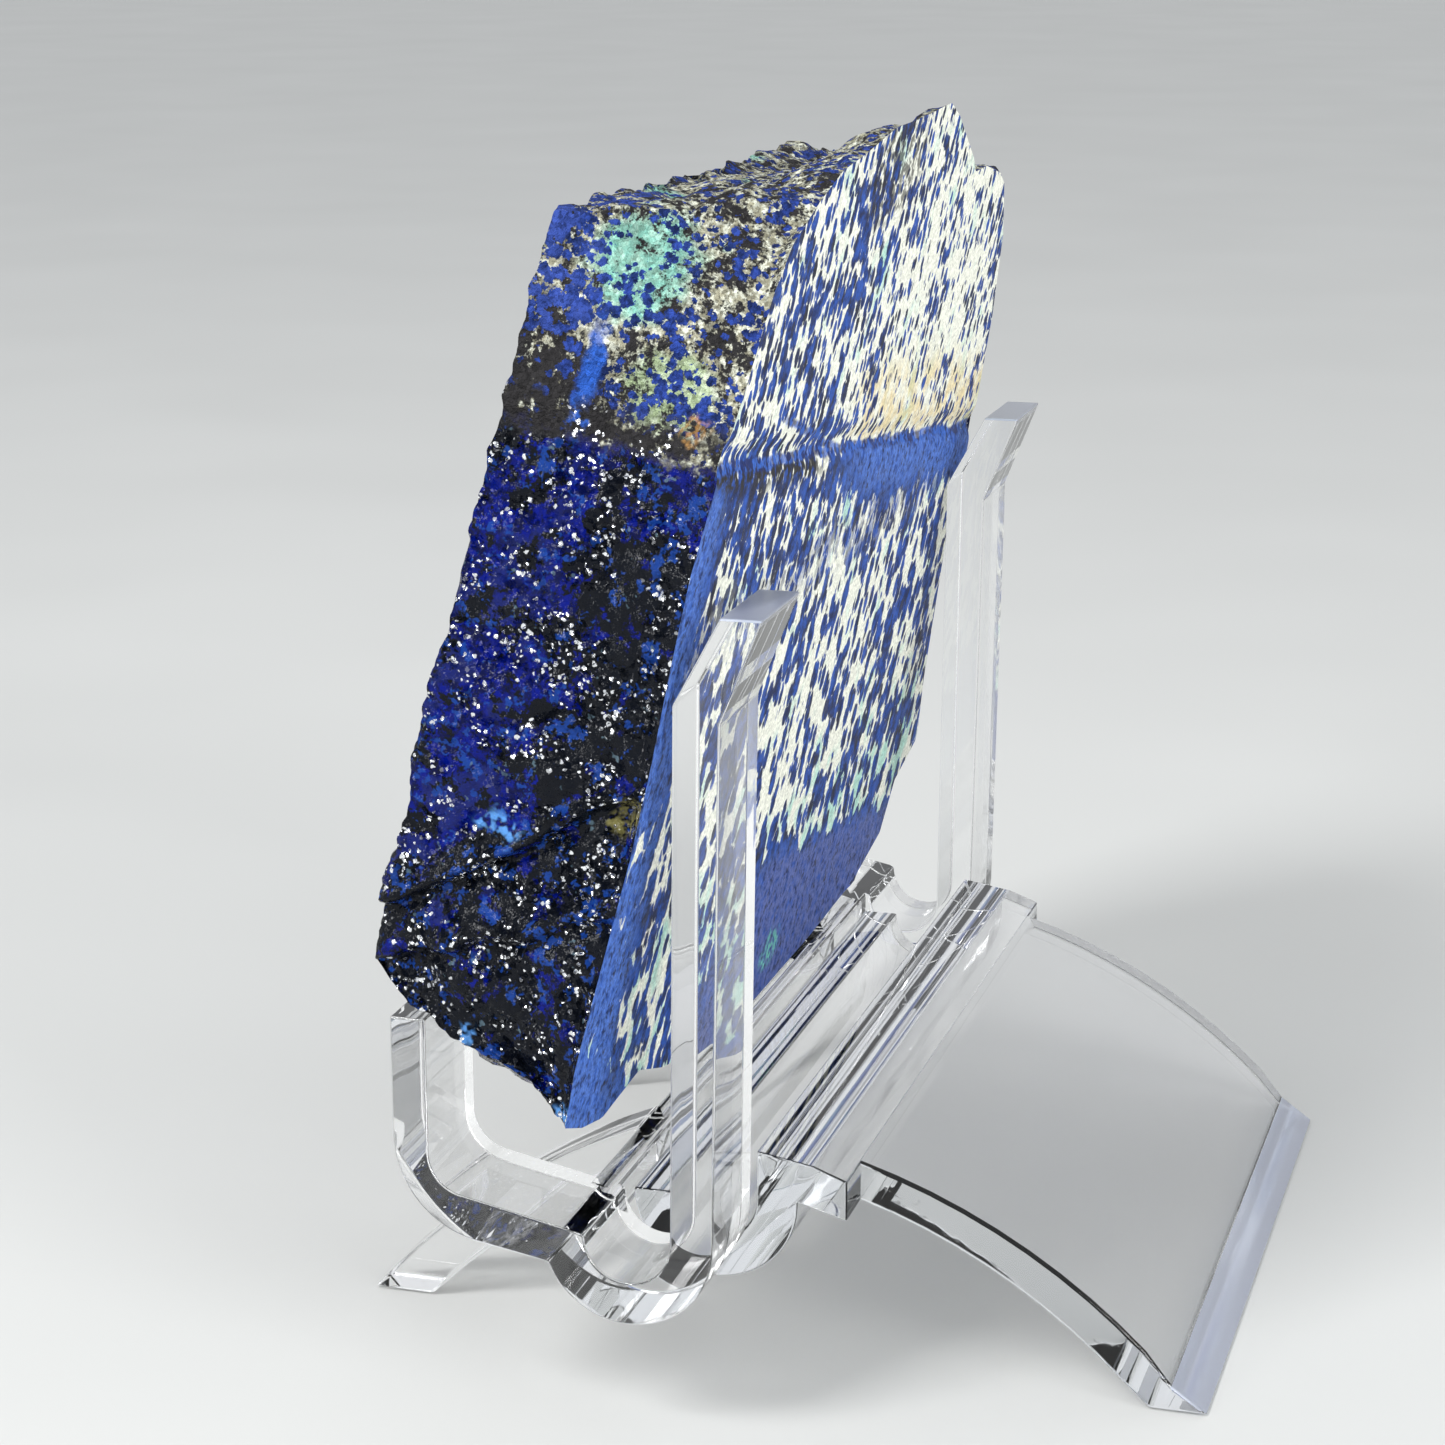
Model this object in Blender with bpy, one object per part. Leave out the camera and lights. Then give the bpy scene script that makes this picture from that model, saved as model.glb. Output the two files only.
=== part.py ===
"""Azurite malachite slab leaning on a clear two-piece moulded easel.

Frame: metres, +Z up, origin on the table under the middle of the whole object.
+X runs along the slab's width, -Y is the side of the hooks, +Y is the sawn face and the back support.
"""
import math

import bmesh
import bpy
from mathutils import Vector, noise

MM = 0.001
GAP = 0.35 * MM

# Easel: shared sizes
STAND_HALF_WIDTH = 45.0 * MM
RIBBON_WIDTH = 9.3 * MM
EDGE_ROUND = 0.2 * MM
ARC_STEP_DEG = 12.0
LONG_ARC_STEPS = 8

# Front frame: the ribbon's side outline, as (y, z)
LOOP_CENTRE = (-5.7 * MM, 15.0 * MM)
LOOP_OUTER_R = 6.2 * MM
LOOP_INNER_R = 3.1 * MM
ARM_BEND_FRONT = (-2.2 * MM, 53.3 * MM)
ARM_BEND_BACK = (1.1 * MM, 52.2 * MM)
ARM_TOP_FRONT = (1.1 * MM, 59.4 * MM)
ARM_TOP_BACK = (4.0 * MM, 59.4 * MM)
HOOK_OUTER_Y = -22.8 * MM
HOOK_INNER_Y = -20.2 * MM
HOOK_TIP_Z = 29.7 * MM
HOOK_OUTER_R = 7.5 * MM
HOOK_INNER_R = 3.0 * MM
SHELF_TOP_FRONT_Z = 16.9 * MM
SHELF_BOTTOM_FRONT_Z = 13.5 * MM
LIP = (-9.2 * MM, 15.2 * MM)

# Front frame: the bar across and the two front legs
BAR_FRONT_Y = -11.0 * MM
BAR_TOP_Z = 15.7 * MM
BAR_BOTTOM_Z = 12.6 * MM
LEG_INNER_X = 21.0 * MM
LEG_OUTER_X = 25.8 * MM
LEG_TOP_ARC = ((-32.6 * MM, 0.0), (-21.8 * MM, 9.6 * MM), (-10.9 * MM, 15.6 * MM))
LEG_BOTTOM_ARC = ((-27.8 * MM, 0.0), (-20.3 * MM, 6.6 * MM), (-10.9 * MM, 12.7 * MM))

# Back support
TROUGH_CENTRE = (-2.7 * MM, 14.2 * MM)
TROUGH_OUTER_R = 6.1 * MM
TROUGH_INNER_R = 3.1 * MM
HEAD_HALF_WIDTH = 33.8 * MM
HEAD_TOP = ((0.4 * MM, 18.0 * MM), (4.6 * MM, 17.3 * MM))
PLATE_HALF_WIDTH = 29.8 * MM
PLATE_TOP_ARC = ((7.05 * MM, 16.4 * MM), (18.2 * MM, 11.7 * MM), (28.0 * MM, 4.3 * MM))
PLATE_BOTTOM_ARC = ((7.05 * MM, 13.4 * MM), (17.0 * MM, 9.0 * MM), (26.2 * MM, 1.9 * MM))
PLATE_START_Y = 6.0 * MM
FOOT_HEEL = (29.9 * MM, 1.9 * MM)
FOOT_BACK_Y = 32.6 * MM
FOOT_FRONT_Y = 28.3 * MM

# Slab: the sawn face is a plane that leans back against the arms
SAWN_BOTTOM = (-10.25 * MM, 16.05 * MM)
LEAN_DEG = 11.66
SLAB_THICKNESS_LOW = 16.3 * MM
SLAB_THICKNESS_TOP = 14.4 * MM
TIP_PLANE_DEG = 37.0
TIP_PLANE_MARGIN = 3.0 * MM

# Slab: the front face's outline in the same plane coordinates
FRONT_FAR_X = -46.0 * MM
FRONT_WIDTH = 93.0 * MM
FRONT_LOW = 13.5 * MM
FRONT_LOW_WAVE = 1.2 * MM
FRONT_TOP_FAR = 64.1 * MM
FRONT_TOP_RISE = 3.3 * MM
FRONT_TOP_ARCH = 1.3 * MM
FRONT_NARROWING = 0.10
FRONT_NARROWS_FROM = 0.55
TOP_SAG = 2.4 * MM

# Slab: the sawn face's outline in its own plane, as (x, height up the slope) in mm
SAWN_BASE = [(-42.6, 3.0), (-34.4, 0.6), (-20.0, 0.0), (2.0, 0.0), (14.0, 1.6), (25.0, 4.2), (32.0, 6.6),
             (40.0, 5.9), (45.0, 7.1), (49.4, 8.8)]
SAWN_NEAR = [(49.4, 8.8), (49.9, 13.2), (49.0, 17.4), (47.7, 22.5), (46.4, 27.6), (45.8, 33.7), (45.8, 40.9),
             (45.4, 47.0), (44.0, 51.1), (42.3, 55.7), (40.6, 59.5), (38.4, 65.0), (36.0, 68.0), (30.8, 70.4)]
SAWN_TOP = [(-30.5, 66.4), (-24.0, 67.6), (-19.8, 67.5), (-17.9, 68.8), (-13.1, 71.0), (-8.7, 73.0), (-4.7, 74.3),
            (4.1, 73.9), (12.5, 73.8), (20.4, 72.6), (26.0, 72.0), (30.8, 70.4)]
SAWN_FAR = [(-42.6, 3.0), (-44.3, 7.8), (-50.9, 10.2), (-47.6, 17.0), (-44.6, 26.8), (-42.6, 33.0), (-43.6, 39.5),
            (-43.2, 44.1), (-41.4, 52.5), (-38.0, 60.2), (-33.3, 65.2), (-30.5, 66.4)]

# Slab: relief of the broken faces
CELLS_X = 36
CELLS_UP = 28
CELLS_DEEP = 8
LUMP_HEIGHT = 1.1 * MM
LUMP_SIZE = 8.0 * MM
PIT_HEIGHT = 0.45 * MM
PIT_SIZE = 3.4 * MM
SEAM_NEAR = 54.5 * MM
SEAM_FAR = 42.5 * MM
SEAM_DEPTH = 0.5 * MM
SEAM_WIDTH = 1.6 * MM
LEDGES = ((24.0 * MM, 31.5 * MM, 0.9 * MM), (19.0 * MM, 17.5 * MM, 0.7 * MM))
LEDGE_SOFTNESS = 0.5 * MM


def clear_scene():
    """Remove every object that is already there."""
    for old in list(bpy.data.objects):
        bpy.data.objects.remove(old, do_unlink=True)


def make_material(name, colour, roughness, transmission=0.0, ior=1.5):
    """Return a Principled material of one colour."""
    mat = bpy.data.materials.new(name)
    mat.use_nodes = True
    shader = mat.node_tree.nodes["Principled BSDF"]
    shader.inputs["Base Color"].default_value = (*colour, 1.0)
    shader.inputs["Roughness"].default_value = roughness
    shader.inputs["Metallic"].default_value = 0.0
    shader.inputs["Transmission Weight"].default_value = transmission
    shader.inputs["IOR"].default_value = ior
    return mat


def add_object(name, bm, material):
    """Turn a bmesh into a named object with one material."""
    bmesh.ops.recalc_face_normals(bm, faces=bm.faces)
    mesh = bpy.data.meshes.new(name)
    bm.to_mesh(mesh)
    bm.free()
    mesh.materials.append(material)
    obj = bpy.data.objects.new(name, mesh)
    bpy.context.collection.objects.link(obj)
    return obj


def arc(centre, radius, start_deg, end_deg, fewest=2):
    """Points of a circular arc in the (y, z) plane, both ends included."""
    steps = max(fewest, round(abs(end_deg - start_deg) / ARC_STEP_DEG))
    angles = [math.radians(start_deg + (end_deg - start_deg) * i / steps) for i in range(steps + 1)]
    return [(centre[0] + radius * math.cos(a), centre[1] + radius * math.sin(a)) for a in angles]


def arc_through(first, middle, last):
    """Points of the arc that passes through three points."""
    (ax, ay), (bx, by), (cx, cy) = first, middle, last
    d = 2.0 * (ax * (by - cy) + bx * (cy - ay) + cx * (ay - by))
    a2 = ax * ax + ay * ay
    b2 = bx * bx + by * by
    c2 = cx * cx + cy * cy
    centre = ((a2 * (by - cy) + b2 * (cy - ay) + c2 * (ay - by)) / d,
              (a2 * (cx - bx) + b2 * (ax - cx) + c2 * (bx - ax)) / d)
    radius = math.hypot(ax - centre[0], ay - centre[1])
    start = math.degrees(math.atan2(ay - centre[1], ax - centre[0]))
    end = math.degrees(math.atan2(cy - centre[1], cx - centre[0]))
    return arc(centre, radius, start, end, LONG_ARC_STEPS)


def prism(name, outline, x_low, x_high, material):
    """Extrude a (y, z) outline along X and round the rims of its two flat sides."""
    bm = bmesh.new()
    verts = [bm.verts.new((x_low, y, z)) for y, z in outline]
    cap = bm.faces.new(verts)
    grown = bmesh.ops.extrude_face_region(bm, geom=[cap])
    moved = [g for g in grown["geom"] if isinstance(g, bmesh.types.BMVert)]
    bmesh.ops.translate(bm, verts=moved, vec=(x_high - x_low, 0.0, 0.0))
    bmesh.ops.recalc_face_normals(bm, faces=bm.faces)
    rims = [e for e in bm.edges if abs(e.verts[0].co.x - e.verts[1].co.x) < 1e-7]
    bmesh.ops.bevel(bm, geom=rims, offset=EDGE_ROUND, segments=1, profile=0.5, affect="EDGES", clamp_overlap=True)
    return add_object(name, bm, material)


def join_solids(base, others):
    """Union other solids into the base one and drop their objects."""
    for other in others:
        union = base.modifiers.new("join " + other.name, "BOOLEAN")
        union.operation = "UNION"
        union.solver = "EXACT"
        union.object = other
        other.hide_render = True
        other.display_type = "WIRE"


def ribbon_outline():
    """Side outline of one ribbon: hook, shelf, lip, loop and arm."""
    hook_centre = (HOOK_OUTER_Y + HOOK_OUTER_R, SHELF_BOTTOM_FRONT_Z + HOOK_OUTER_R)
    inner_centre = (HOOK_INNER_Y + HOOK_INNER_R, SHELF_TOP_FRONT_Z + HOOK_INNER_R)
    points = [(HOOK_INNER_Y, HOOK_TIP_Z), (HOOK_OUTER_Y, HOOK_TIP_Z)]
    points += arc(hook_centre, HOOK_OUTER_R, 180.0, 262.0)
    points += arc(LOOP_CENTRE, LOOP_OUTER_R, 201.0, 360.0)
    points += [ARM_BEND_BACK, ARM_TOP_BACK, ARM_TOP_FRONT, ARM_BEND_FRONT]
    points += arc(LOOP_CENTRE, LOOP_INNER_R, 0.0, -180.0)
    points += [LIP]
    points += arc(inner_centre, HOOK_INNER_R, 262.0, 180.0)
    return points


def front_frame(material):
    """Two ribbons joined by the bar, with a leg under each end."""
    outline = ribbon_outline()
    inner_x = STAND_HALF_WIDTH - RIBBON_WIDTH
    near = prism("front_frame", outline, inner_x, STAND_HALF_WIDTH, material)
    far = prism("frame_far_ribbon", outline, -STAND_HALF_WIDTH, -inner_x, material)
    bar_outline = [(BAR_FRONT_Y, BAR_BOTTOM_Z), (LIP[0], BAR_BOTTOM_Z), (LIP[0], LIP[1]), (BAR_FRONT_Y, BAR_TOP_Z)]
    overlap = 1.5 * MM
    bar = prism("frame_bar", bar_outline, -inner_x - overlap, inner_x + overlap, material)
    leg_outline = arc_through(*LEG_TOP_ARC) + [(LIP[0] - GAP, LEG_TOP_ARC[2][1] - 0.2 * MM)]
    leg_outline += [(LIP[0] - GAP, LEG_BOTTOM_ARC[2][1] + 0.2 * MM)] + list(reversed(arc_through(*LEG_BOTTOM_ARC)))
    leg_near = prism("frame_leg_near", leg_outline, LEG_INNER_X, LEG_OUTER_X, material)
    leg_far = prism("frame_leg_far", leg_outline, -LEG_OUTER_X, -LEG_INNER_X, material)
    join_solids(near, [far, bar, leg_near, leg_far])
    return near


def back_support(material):
    """The trough and head between the arms, and the arched plate that runs down to the rear foot."""
    head = [HEAD_TOP[0], HEAD_TOP[1], PLATE_TOP_ARC[0], PLATE_BOTTOM_ARC[0],
            (TROUGH_CENTRE[0] + TROUGH_OUTER_R, TROUGH_CENTRE[1] + 0.2 * MM)]
    head += arc(TROUGH_CENTRE, TROUGH_OUTER_R, 0.0, -180.0)
    head += arc(TROUGH_CENTRE, TROUGH_INNER_R, -180.0, 0.0)
    head_solid = prism("back_support", head, -HEAD_HALF_WIDTH, HEAD_HALF_WIDTH, material)
    plate = [(PLATE_START_Y, PLATE_BOTTOM_ARC[0][1] + 0.4 * MM), (PLATE_START_Y, PLATE_TOP_ARC[0][1])]
    plate += arc_through(*PLATE_TOP_ARC)
    plate += [FOOT_HEEL, (FOOT_BACK_Y, 0.0), (FOOT_FRONT_Y, 0.0)]
    plate += list(reversed(arc_through(*PLATE_BOTTOM_ARC)))
    plate_solid = prism("support_plate", plate, -PLATE_HALF_WIDTH, PLATE_HALF_WIDTH, material)
    join_solids(head_solid, [plate_solid])
    return head_solid


def along(points, t):
    """Point at the fraction t of a polyline's length."""
    spans = [math.dist(p, q) for p, q in zip(points, points[1:])]
    left = t * sum(spans)
    for (p, q), span in zip(zip(points, points[1:]), spans):
        if left <= span:
            f = left / span
            return Vector((p[0] + (q[0] - p[0]) * f, p[1] + (q[1] - p[1]) * f))
        left -= span
    return Vector(points[-1])


def outline_point(a, b):
    """Point inside the sawn outline: a runs far to near, b runs bottom to top."""
    low, high = along(SAWN_BASE, a), along(SAWN_TOP, a)
    far, near = along(SAWN_FAR, b), along(SAWN_NEAR, b)
    corners = [Vector(SAWN_BASE[0]), Vector(SAWN_BASE[-1]), Vector(SAWN_TOP[0]), Vector(SAWN_TOP[-1])]
    blend = corners[0] * (1 - a) * (1 - b) + corners[1] * a * (1 - b) + corners[2] * (1 - a) * b + corners[3] * a * b
    return (low * (1 - b) + high * b + far * (1 - a) + near * a - blend) * MM


def front_point(a, b):
    """Point inside the hidden front face's outline, in the same coordinates."""
    x = FRONT_FAR_X + FRONT_WIDTH * a
    top = FRONT_TOP_FAR + FRONT_TOP_RISE * a + FRONT_TOP_ARCH * math.sin(math.pi * a)
    low = FRONT_LOW + FRONT_LOW_WAVE * math.sin(7.0 * a)
    squeeze = 1.0 - FRONT_NARROWING * max(0.0, b - FRONT_NARROWS_FROM) / (1.0 - FRONT_NARROWS_FROM)
    return Vector((x * squeeze, low + (top - low) * b))


def slab_place(a, b, c):
    """Plain place of the slab's body: c runs from the sawn face to the front face."""
    flat = outline_point(a, b).lerp(front_point(a, b), c)
    flat.y -= TOP_SAG * math.sin(math.pi * c) * math.sin(math.pi * a) * b ** 6
    thickness = SLAB_THICKNESS_LOW + (SLAB_THICKNESS_TOP - SLAB_THICKNESS_LOW) * b
    lean = math.radians(LEAN_DEG)
    depth = c * thickness
    y = SAWN_BOTTOM[0] + flat.y * math.sin(lean) - depth * math.cos(lean)
    z = SAWN_BOTTOM[1] + flat.y * math.cos(lean) + depth * math.sin(lean)
    return Vector((flat.x, y, z))


def relief(place):
    """How far the broken surface stands out from its plain place."""
    lumps = noise.fractal(place / LUMP_SIZE, 1.0, 2.0, 3) * LUMP_HEIGHT
    pits = noise.noise(place / PIT_SIZE + Vector((7.0, 3.0, 1.0))) * PIT_HEIGHT
    return lumps + pits


def slope_height(place):
    """Height of a place up the sawn face's slope."""
    return (place.z - SAWN_BOTTOM[1]) / math.cos(math.radians(LEAN_DEG))


def ledge_step(a, c, place):
    """Outward step of the near end below each ledge line."""
    if a < 0.5:
        return 0.0
    total = 0.0
    for front, back, step in LEDGES:
        line = back + (front - back) * c
        total += step / (1.0 + math.exp((slope_height(place) - line) / LEDGE_SOFTNESS))
    return total * (a - 0.5) * 2.0


def keep_clear(place):
    """Hold the stone off the hook tips and the bar."""
    inner_x = STAND_HALF_WIDTH - RIBBON_WIDTH
    slant = math.radians(TIP_PLANE_DEG)
    if inner_x - TIP_PLANE_MARGIN < abs(place.x) < STAND_HALF_WIDTH + TIP_PLANE_MARGIN:
        tip_side = Vector((0.0, math.cos(slant), math.sin(slant)))
        tip = Vector((place.x, HOOK_INNER_Y, HOOK_TIP_Z))
        short = 1.3 * GAP - (place - tip).dot(tip_side)
        if short > 0.0:
            place += tip_side * short
    place.z = max(place.z, SAWN_BOTTOM[1])
    return place


def slab(material):
    """The stone: a leaning body with a sawn back face and broken faces all round."""
    bm = bmesh.new()
    grid = {}

    def vertex(i, j, k):
        key = (i, j, k)
        if key not in grid:
            grid[key] = bm.verts.new(slab_place(i / CELLS_X, j / CELLS_UP, k / CELLS_DEEP))
        return grid[key]

    def skin(corner, ranges):
        for m in range(ranges[0]):
            for n in range(ranges[1]):
                bm.faces.new([vertex(*corner(m, n)), vertex(*corner(m + 1, n)), vertex(*corner(m + 1, n + 1)),
                              vertex(*corner(m, n + 1))])

    skin(lambda m, n: (m, n, 0), (CELLS_X, CELLS_UP))
    skin(lambda m, n: (m, n, CELLS_DEEP), (CELLS_X, CELLS_UP))
    skin(lambda m, n: (m, 0, n), (CELLS_X, CELLS_DEEP))
    skin(lambda m, n: (m, CELLS_UP, n), (CELLS_X, CELLS_DEEP))
    skin(lambda m, n: (0, m, n), (CELLS_UP, CELLS_DEEP))
    skin(lambda m, n: (CELLS_X, m, n), (CELLS_UP, CELLS_DEEP))
    bmesh.ops.recalc_face_normals(bm, faces=bm.faces)
    bm.normal_update()
    shapes = []
    for (i, _, k), vert in grid.items():
        a = i / CELLS_X
        c = k / CELLS_DEEP
        place = vert.co.copy()
        if k == 0:
            seam = SEAM_FAR + (SEAM_NEAR - SEAM_FAR) * a
            dent = SEAM_DEPTH * math.exp(-((slope_height(place) - seam) / SEAM_WIDTH) ** 2)
            shapes.append((vert, place + Vector((0.0, -dent, 0.0))))
            continue
        near_edge = min(1.0, k / 2.0)
        out = relief(place) * near_edge
        moved = place + vert.normal * out
        if i == CELLS_X:
            moved.x += ledge_step(a, c, place) * near_edge
        shapes.append((vert, moved))
    for vert, moved in shapes:
        vert.co = keep_clear(moved)
    return add_object("azurite_slab", bm, material)


def build():
    """Model the whole object."""
    clear_scene()
    clear_plastic = make_material("clear_plastic", (0.95, 0.96, 0.97), 0.03, transmission=1.0, ior=1.49)
    stone = make_material("azurite_stone", (0.07, 0.12, 0.42), 0.45)
    slab(stone)
    front_frame(clear_plastic)
    back_support(clear_plastic)


build()
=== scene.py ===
"""Looks of the azurite malachite slab on its clear moulded easel.

Frame: metres, +Z up. +X runs along the slab, -Y is the side of the hooks, and +Y is the side of the sawn face
and the back support.
The stone's own coordinates are x, the distance out of the sawn face (less than 0 inside the stone), and the
height up its slope. The materials use them in millimetres.
"""
import math
from collections import namedtuple

import bmesh
import bpy
import numpy as np
from mathutils import Matrix, Vector, noise


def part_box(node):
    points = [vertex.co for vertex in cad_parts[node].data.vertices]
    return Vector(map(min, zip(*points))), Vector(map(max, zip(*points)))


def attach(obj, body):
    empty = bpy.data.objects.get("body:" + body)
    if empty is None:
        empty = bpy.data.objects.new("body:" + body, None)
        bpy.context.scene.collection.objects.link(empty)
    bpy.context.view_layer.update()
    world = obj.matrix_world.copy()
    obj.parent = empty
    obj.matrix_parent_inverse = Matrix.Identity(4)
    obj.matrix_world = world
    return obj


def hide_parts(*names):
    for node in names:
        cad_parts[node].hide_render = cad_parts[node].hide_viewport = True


MM = 0.001

# Camera, matched to the photograph
CAMERA_PLACE = (0.25098, 0.06267, 0.10895)
CAMERA_AZIMUTH = math.radians(106.595)
CAMERA_ELEVATION = math.radians(14.733)
CAMERA_ROLL = math.radians(-0.124)
CAMERA_LENS = 84.65
CAMERA_SENSOR = 36.0
CAMERA_NEAREST = 0.01

# Studio: each light is a name, a place and a size in metres, and a power in watts
LIGHTS = (("window", (0.40, -0.25, 0.50), 0.20, 3.0),
          ("fill", (0.42, 0.60, 0.28), 0.35, 3.2),
          ("lamp", (0.60, -0.30, 0.15), 0.12, 0.9))
LIGHT_TARGET = (0.0, 0.0, 0.045)
WORLD_COLOUR = (0.95, 0.97, 1.0, 1.0)
WORLD_STRENGTH = 0.80
BOUNCES = 12
DIFFUSE_BOUNCES = 2
GLOSSY_BOUNCES = 6
FLOOR_RADIUS = 3.0
FLOOR_SIDES = 96
FLOOR_GAP = 0.15 * MM  # lets light reach the undersides of the feet

# Easel: shared sizes
STAND_HALF_WIDTH = 45.0 * MM
RIBBON_WIDTH = 9.3 * MM
EDGE_ROUND = 0.3 * MM
EDGE_SEGMENTS = 3
EDGE_TURN = math.radians(20.0)
SHADING_TURN = math.radians(32.0)
ARC_STEP_DEG = 3.0
PIECE_GAP = 0.35 * MM

# Front frame: the ribbon's side outline, as (y, z)
LOOP_CENTRE = (-5.7 * MM, 15.0 * MM)
LOOP_OUTER_R = 6.2 * MM
LOOP_INNER_R = 3.1 * MM
LOOP_START_DEG = 201.0
ARM_BEND_FRONT = (-2.2 * MM, 53.3 * MM)
ARM_BEND_BACK = (1.1 * MM, 52.2 * MM)
ARM_TOP_FRONT = (1.1 * MM, 59.4 * MM)
ARM_TOP_BACK = (4.0 * MM, 59.4 * MM)
HOOK_OUTER_Y = -22.8 * MM
HOOK_INNER_Y = -20.2 * MM
HOOK_TIP_Z = 29.7 * MM
HOOK_OUTER_R = 7.5 * MM
HOOK_INNER_R = 3.0 * MM
HOOK_END_DEG = 262.0
SHELF_TOP_FRONT_Z = 16.9 * MM
SHELF_BOTTOM_FRONT_Z = 13.5 * MM
LIP = (-9.2 * MM, 15.2 * MM)

# Front frame: the bar across and the two front legs
BAR_FRONT_Y = -11.0 * MM
BAR_TOP_Z = 15.7 * MM
BAR_BOTTOM_Z = 12.6 * MM
BAR_OVERLAP = 1.5 * MM
LEG_INNER_X = 21.0 * MM
LEG_OUTER_X = 25.8 * MM
LEG_TOP_ARC = ((-32.6 * MM, 0.0), (-21.8 * MM, 9.6 * MM), (-10.9 * MM, 15.6 * MM))
LEG_BOTTOM_ARC = ((-27.8 * MM, 0.0), (-20.3 * MM, 6.6 * MM), (-10.9 * MM, 12.7 * MM))
LEG_END_STEP = 0.2 * MM

# Back support
TROUGH_CENTRE = (-2.7 * MM, 14.2 * MM)
TROUGH_OUTER_R = 6.1 * MM
TROUGH_INNER_R = 3.1 * MM
TROUGH_STEP = 0.2 * MM
HEAD_HALF_WIDTH = 33.8 * MM
HEAD_TOP = ((0.4 * MM, 18.0 * MM), (4.6 * MM, 17.3 * MM))
PLATE_HALF_WIDTH = 29.8 * MM
PLATE_TOP_ARC = ((7.05 * MM, 16.4 * MM), (18.2 * MM, 11.7 * MM), (28.0 * MM, 4.3 * MM))
PLATE_BOTTOM_ARC = ((7.05 * MM, 13.4 * MM), (17.0 * MM, 9.0 * MM), (26.2 * MM, 1.9 * MM))
PLATE_START_Y = 6.0 * MM
PLATE_START_STEP = 0.4 * MM
FOOT_HEEL = (29.9 * MM, 1.9 * MM)
FOOT_BACK_Y = 32.6 * MM
FOOT_FRONT_Y = 28.3 * MM
FOOT_BAND_LEAST_UP = 0.5  # how far up the foot's end band faces at least

# Slab: the sawn face is a plane that leans back against the arms
SAWN_BOTTOM = (-10.25 * MM, 16.05 * MM)
LEAN = math.radians(11.66)
SLAB_THICKNESS_LOW = 16.3 * MM
SLAB_THICKNESS_TOP = 14.4 * MM
TIP_PLANE = math.radians(37.0)
TIP_PLANE_MARGIN = 3.0 * MM
TIP_CLEARANCE = 1.3 * PIECE_GAP

# Slab: the front face's outline in the same plane coordinates
FRONT_FAR_X = -46.0 * MM
FRONT_WIDTH = 93.0 * MM
FRONT_LOW = 13.5 * MM
FRONT_LOW_WAVE = 1.2 * MM
FRONT_LOW_WAVE_TURN = 7.0
FRONT_TOP_FAR = 64.1 * MM
FRONT_TOP_RISE = 3.3 * MM
FRONT_TOP_ARCH = 1.3 * MM
FRONT_NARROWING = 0.10
FRONT_NARROWS_FROM = 0.55
TOP_SAG = 2.4 * MM
TOP_SAG_POWER = 6

# Slab: the sawn face's outline in its own plane, as (x, height up the slope) in mm
SAWN_BASE = [(-42.6, 3.0), (-34.4, 0.6), (-20.0, 0.0), (2.0, 0.0), (14.0, 1.6), (25.0, 4.2), (32.0, 6.6),
             (40.0, 5.9), (45.0, 7.1), (49.4, 8.8)]
SAWN_NEAR = [(49.4, 8.8), (49.9, 13.2), (49.0, 17.4), (47.7, 22.5), (46.4, 27.6), (45.8, 33.7),
             (45.8, 40.9), (45.4, 47.0), (44.0, 51.1), (42.3, 55.7), (40.6, 59.5), (38.4, 65.0),
             (36.0, 68.0), (30.8, 70.4)]
SAWN_TOP = [(-30.5, 66.4), (-24.0, 67.6), (-19.8, 67.5), (-17.9, 68.8), (-13.1, 71.0), (-8.7, 73.0),
            (-4.7, 74.3), (4.1, 73.9), (12.5, 73.8), (20.4, 72.6), (26.0, 72.0), (30.8, 70.4)]
SAWN_FAR = [(-42.6, 3.0), (-44.3, 7.8), (-50.9, 10.2), (-47.6, 17.0), (-44.6, 26.8), (-42.6, 33.0),
            (-43.6, 39.5), (-43.2, 44.1), (-41.4, 52.5), (-38.0, 60.2), (-33.3, 65.2), (-30.5, 66.4)]

# Slab: relief
CELLS_X = 120
CELLS_UP = 220
CELLS_DEEP = 64
LUMP_HEIGHT = 1.0 * MM
LUMP_SIZE = 8.0 * MM
LUMP_FALLOFF = 1.0
LUMP_STEP = 2.0
LUMP_OCTAVES = 3
PIT_HEIGHT = 0.30 * MM
PIT_SIZE = 3.4 * MM
PIT_SHIFT = Vector((7.0, 3.0, 1.0))
FACET_HEIGHT = 0.35 * MM
FACET_SIZE = 2.3 * MM
GRAIN_HEIGHT = 0.34 * MM
GRAIN_SIZE = 0.85 * MM
RELIEF_MEAN = 0.4
RIM_SOFT = 0.05
SEAM_NEAR = 54.5 * MM
SEAM_FAR = 42.5 * MM
SEAM_DEPTH = 0.5 * MM
SEAM_WIDTH = 1.0 * MM
LEDGES = ((23.0 * MM, 32.0 * MM, 0.55 * MM), (18.8 * MM, 23.3 * MM, 0.40 * MM))
LEDGES_FROM = 0.5
LEDGE_SOFTNESS = 0.20 * MM
LEDGE_LIP = 0.6 * MM
LEDGE_WAVER = 1.0 * MM
LEDGE_WAVER_SIZE = 4.0 * MM

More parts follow.
